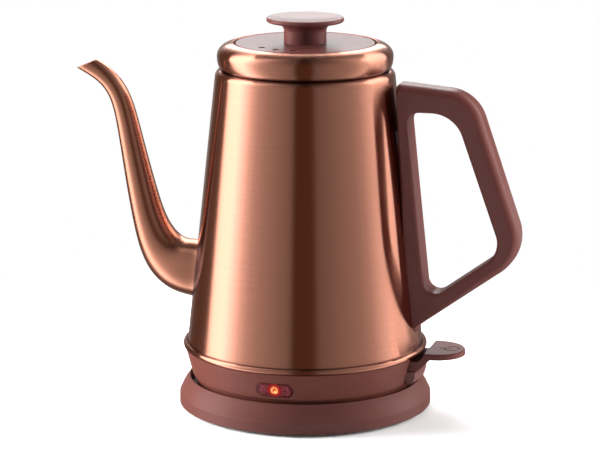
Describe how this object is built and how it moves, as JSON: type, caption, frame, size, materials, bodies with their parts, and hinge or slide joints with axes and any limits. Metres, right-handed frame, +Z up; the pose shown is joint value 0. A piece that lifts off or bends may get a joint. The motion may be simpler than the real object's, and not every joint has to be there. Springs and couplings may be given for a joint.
{
  "type": "gooseneck kettle",
  "caption": "Electric gooseneck kettle with a conical metal body, slender curved spout, loop handle, lift-off lid and lever switch, standing on a lift-off power base.",
  "frame": {"origin": "centre of the power base, on the table surface under its feet", "axes": "+Z up, spout towards -X, handle towards +X, lamp window towards -Y"},
  "size_m": [0.2522, 0.1425, 0.2172],
  "materials": {
    "copper_steel": "copper-toned stainless steel, polished with very fine level brushing",
    "brown_plastic": "satin moulded polypropylene, fine grain on the base",
    "dark_plastic": "plain moulded plastic",
    "plain_steel": "plain stainless steel",
    "spreader_aluminium": "plain rolled plate",
    "contact_brass": "plain",
    "black_rubber": "matte",
    "silicone": "satin translucent silicone",
    "red_lens": "clear red plastic",
    "lamp_glow": "glowing lamp"
  },
  "bodies": {
    "power_base": {"base_housing": "brown_plastic", "base_plate": "dark_plastic", "base_connector": "dark_plastic", "base_contacts": "contact_brass", "base_feet": "black_rubber", "base_screws": "plain_steel", "cord_gland": "black_rubber"},
    "kettle": {"body_shell": "copper_steel", "spout": "copper_steel", "trim_ring": "copper_steel", "floor_plate": "plain_steel", "heat_spreader": "spreader_aluminium", "heating_element": "plain_steel", "steam_tube": "plain_steel", "kettle_skirt": "brown_plastic", "kettle_control": "dark_plastic", "kettle_contacts": "contact_brass", "mount_posts": "plain_steel", "skirt_screws": "plain_steel", "lamp_lens": "red_lens", "lamp_bulb": "lamp_glow", "lamp_holder": "dark_plastic", "switch_housing": "brown_plastic", "snap_disc": "plain_steel", "switch_pin": "plain_steel", "handle": "brown_plastic", "handle_hook": "plain_steel", "handle_anchor": "plain_steel", "handle_screw": "plain_steel"},
    "lid": {"lid_ring": "copper_steel", "lid_disc": "brown_plastic", "lid_knob": "brown_plastic", "knob_screw": "plain_steel", "lid_liner": "plain_steel", "lid_seal": "silicone"},
    "switch_lever": {"switch_lever": "brown_plastic"}
  },
  "joints": [
    {"name": "kettle_lift", "type": "slide", "parent": "power_base", "child": "kettle", "axis": [0, 0, 1], "range_m": [0, 0.06]},
    {"name": "lid_lift", "type": "slide", "parent": "kettle", "child": "lid", "axis": [0, 0, 1], "range_m": [0, 0.05]},
    {"name": "switch_hinge", "type": "hinge", "parent": "kettle", "child": "switch_lever", "pos_m": [0.059, 0, 0.029], "axis": [0, -1, 0], "range_deg": [0, 7]}
  ]
}
